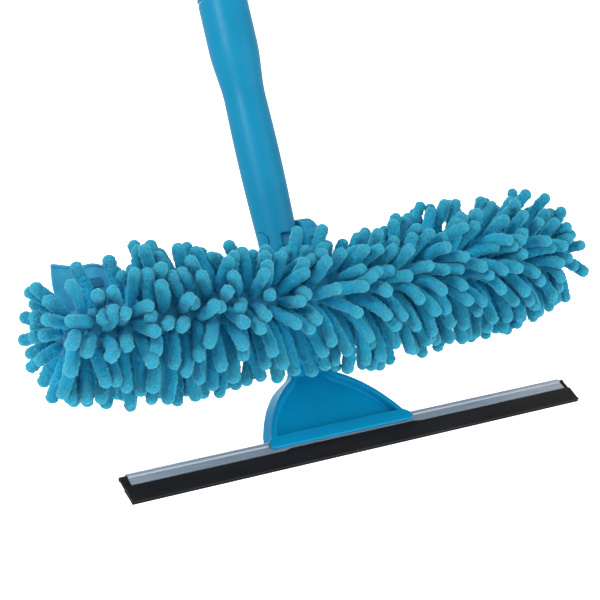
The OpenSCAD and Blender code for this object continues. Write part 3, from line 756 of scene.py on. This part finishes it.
def add_flap():
    """The flap with its top hem, a plain patch in front and the hook tape behind."""
    flap = cloth_grid("flap_cloth", flap_point, across=56, up=46, thickness=1.1 * MM, material=CLOTH)
    hem_from, hem_inset, hem_proud, tape_proud = 0.94, 0.012, 0.75 * MM, 0.85 * MM

    def hem_point(s, h):
        place, normal = flap_point(hem_inset + (1 - 2 * hem_inset) * s, hem_from + (1 - hem_from) * h)
        return place + normal * hem_proud, normal

    hem = cloth_grid("flap_hem", hem_point, across=56, up=4, thickness=0.5 * MM, material=CLOTH)
    for name, node, side, tall in (("flap_tape", "flap_patch", 1, 5 * MM),
                                   ("hook_tape", "hook_patch", -1, 6 * MM)):
        low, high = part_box(node)
        left, right = ((x - FLAP_LOW.x) / FLAP_WIDTH for x in (low.x, high.x))
        mid = (middle(node) - FLAP_ROOT).dot(FLAP_UP) / FLAP_REACH
        half = tall / 2 / FLAP_REACH

        def tape_point(s, h):
            place, normal = flap_point(left + (right - left) * s, mid - half + 2 * half * h)
            return place + normal * side * tape_proud, normal

        tape = cloth_grid(name, tape_point, across=20, up=14, thickness=0.6 * MM, material=TAPE)
        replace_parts(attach(tape, "flap"), node)
    for piece in (flap, hem):
        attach(piece, "flap")
    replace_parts(flap, "closure_flap")


def add_sleeve():
    """The woven tube with its slit for the stem, the loop tape and the bound edge of the slit."""
    around, along = 72, 170
    thickness, under_binding = 0.9 * MM, 2.2 * MM
    radius = SLEEVE_R - thickness / 2
    half_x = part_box("slit_binding")[1].x - under_binding
    half_z = 10.2 * MM
    length = SLEEVE_HIGH.x - SLEEVE_LOW.x
    bm = bmesh.new()
    outer, inner = ([[bm.verts.new(Vector((SLEEVE_LOW.x + length * j / along, BAR.y, BAR.z))
                                   + round_bar(math.tau * i / around) * r)
                      for i in range(around)] for j in range(along + 1)]
                    for r in (radius + thickness / 2, radius - thickness / 2))

    def is_open(i, j):
        x = SLEEVE_LOW.x + length * (j + 0.5) / along
        turn = math.tau * (i + 0.5) / around
        y, z = -math.sin(turn) * radius, math.cos(turn) * radius
        return abs(x) < half_x and y > 0 and abs(z) < half_z

    for j in range(along):
        for i in range(around):
            if is_open(i, j):
                continue
            n = (i + 1) % around
            bm.faces.new([outer[j][i], outer[j][n], outer[j + 1][n], outer[j + 1][i]])
            bm.faces.new([inner[j][n], inner[j][i], inner[j + 1][i], inner[j + 1][n]])
            for a, b, c, d, di, dj in ((j, i, j, n, 0, -1), (j + 1, n, j + 1, i, 0, 1),
                                       (j + 1, i, j, i, -1, 0), (j, n, j + 1, n, 1, 0)):
                ni, nj = (i + di) % around, j + dj
                if nj < 0 or nj >= along or is_open(ni, nj):
                    bm.faces.new([outer[a][b], inner[a][b], inner[c][d], outer[c][d]])
    loose = [v for v in bm.verts if not v.link_faces]
    bmesh.ops.delete(bm, geom=loose, context="VERTS")
    sleeve = finished("sleeve_cloth", bm, CLOTH)
    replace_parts(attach(sleeve, "head"), "sleeve_backing")
    loops = add_loop_tape()
    binding = add_binding(half_x, half_z, radius)


def add_loop_tape():
    """The tape on the sleeve's rear that the folded flap closes on."""
    wide, proud = 8 * MM, 0.4 * MM
    low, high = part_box("loop_patch")
    centre = middle("loop_patch")
    turn = -math.atan2(centre.y - BAR.y, centre.z - BAR.z)

    def loop_point(s, h):
        normal = round_bar(turn + (h - 0.5) * wide / SLEEVE_R)
        x = low.x + (high.x - low.x) * s
        return Vector((x, BAR.y, BAR.z)) + normal * (SLEEVE_R + proud), normal

    loops = cloth_grid("loop_tape", loop_point, across=30, up=14, thickness=0.6 * MM, material=TAPE)
    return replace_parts(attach(loops, "head"), "loop_patch")


def add_binding(half_x, half_z, radius):
    """The tape that wraps the slit's raw edge: a flat roll with a stitch every 2.5 mm."""
    corner, corner_steps, steps, sides = 3.5 * MM, 8, 240, 14
    wide, thick, stitch, pucker_share = 1.7 * MM, 1.05 * MM, 2.5 * MM, 0.09
    path = []
    for quarter, (sx, sz) in enumerate(((1, 1), (-1, 1), (-1, -1), (1, -1))):
        for k in range(corner_steps + 1):
            turn = (quarter + k / corner_steps) * math.pi / 2
            path.append((sx * (half_x - corner) + corner * math.cos(turn),
                         sz * (half_z - corner) + corner * math.sin(turn)))
    path = np.array(path + path[:1])
    run = np.concatenate([[0], np.cumsum(np.linalg.norm(np.diff(path, axis=0), axis=1))])
    at = np.linspace(0, run[-1], steps, endpoint=False)
    xs, zs = np.interp(at, run, path[:, 0]), np.interp(at, run, path[:, 1])
    ys = np.sqrt(radius ** 2 - zs ** 2)
    centre = np.stack([xs, ys, zs], 1)
    tangent = np.roll(centre, -1, 0) - np.roll(centre, 1, 0)
    tangent /= np.linalg.norm(tangent, axis=1)[:, None]
    out = np.stack([np.zeros(steps), ys, zs], 1) / radius
    beside = np.cross(tangent, out)
    turn = np.linspace(0, math.tau, sides, endpoint=False)
    pucker = 1 + pucker_share * np.sin(math.tau * at / stitch)[:, None]
    across = np.sign(np.cos(turn)) * np.abs(np.cos(turn)) ** 0.7 * wide
    rise = np.sin(turn) * thick
    points = (centre[:, None] + beside[:, None] * (across[None] * pucker)[..., None]
              + out[:, None] * (rise[None] * pucker)[..., None]) + np.array(BAR)
    bm = bmesh.new()
    rows = [[bm.verts.new(place) for place in row] for row in points]
    for row, after in zip(rows, rows[1:] + rows[:1]):
        for k in range(sides):
            n = (k + 1) % sides
            bm.faces.new([row[k], row[n], after[n], after[k]])
    tape = finished("slit_tape", bm, CLOTH)
    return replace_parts(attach(tape, "head"), "slit_binding")


def add_sleeve_end(name, node, side):
    """A sewn end: cloth gathered to the middle in shallow pleats, with a raised seam near its rim."""
    pleats, rings, around = 14, 14, 84
    pleat_height, seam_height, seam_half, seam_r = 0.32 * MM, 0.25 * MM, 0.6 * MM, SLEEVE_R * 0.86
    face_drop, rim_drop, hub_drop = 0.3 * MM, 0.25 * MM, 0.5 * MM
    centre = middle(node)
    half = (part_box(node)[1].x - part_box(node)[0].x) / 2
    bm = bmesh.new()
    rims = []
    for face in (1, -1):
        rows = []
        for j in range(1, rings + 1):
            r = SLEEVE_R * j / rings
            seam = seam_height * math.exp(-((r - seam_r) / seam_half) ** 2)
            row = []
            for i in range(around):
                turn = math.tau * i / around
                pleat = pleat_height * math.sin(pleats * turn + 0.6 * math.sin(3 * turn)) * (j / rings)
                relief = pleat + seam if face > 0 else 0
                depth = half - face_drop + relief - (rim_drop if j == rings else 0)
                row.append(bm.verts.new((centre.x + side * face * depth, BAR.y - math.sin(turn) * r,
                                         BAR.z + math.cos(turn) * r)))
            rows.append(row)
        hub = bm.verts.new((centre.x + side * face * (half - hub_drop), BAR.y, BAR.z))
        for i in range(around):
            n = (i + 1) % around
            bm.faces.new([hub, rows[0][i], rows[0][n]])
            for j in range(rings - 1):
                bm.faces.new([rows[j][i], rows[j][n], rows[j + 1][n], rows[j + 1][i]])
        rims.append(rows[-1])
    front, rear = rims
    for i in range(around):
        n = (i + 1) % around
        bm.faces.new([front[i], front[n], rear[n], rear[i]])
    end = finished(name, bm, CLOTH)
    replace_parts(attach(end, "head"), node)


# ---------------------------------------------------------------- the whole tool
camera_up = add_camera()
add_stage()
finish_cad(STEEL, "hinge_bolt", "knob_nut", "clamp_washer", "hub_screws", "jaw_screws", "bar_screws")
finish_cad(FRICTION, "friction_disc")
finish_cad(BAR_BLUE, "washer_bar", "bar_cap_left", "bar_cap_right")
finish_cad(KNOB_BLUE, "pole_socket")
finish_cad(BLUE, "knob_cap", "bolt_plug")
finish_cad(ALLOY, "blade_channel")
finish_cad(RUBBER, "rubber_blade")
jaw_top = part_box("blade_channel")[1].z + 6 * MM
moulded("handle_grip", "handle", BLUE, voxel=0.65 * MM, rounds=6)
moulded("lock_knob", "knob", KNOB_BLUE, voxel=0.3 * MM, rounds=6)
moulded("head_hub", "head", BLUE, voxel=0.5 * MM, rounds=6)
moulded("jaw_plate", "head", BLUE, voxel=0.4 * MM, rounds=3)
# the holder gets the lighter copy of the blue plastic, painted light against the pile's shade
moulded("squeegee_holder", "head", HOLDER_BLUE_PAINTED_LIGHT, voxel=0.45 * MM, rounds=6, soft_above=jaw_top)
add_sleeve()
add_sleeve_end("sleeve_end_left_cloth", "sleeve_end_left", -1)
add_sleeve_end("sleeve_end_right_cloth", "sleeve_end_right", 1)
add_flap()
add_pile(-camera_up)
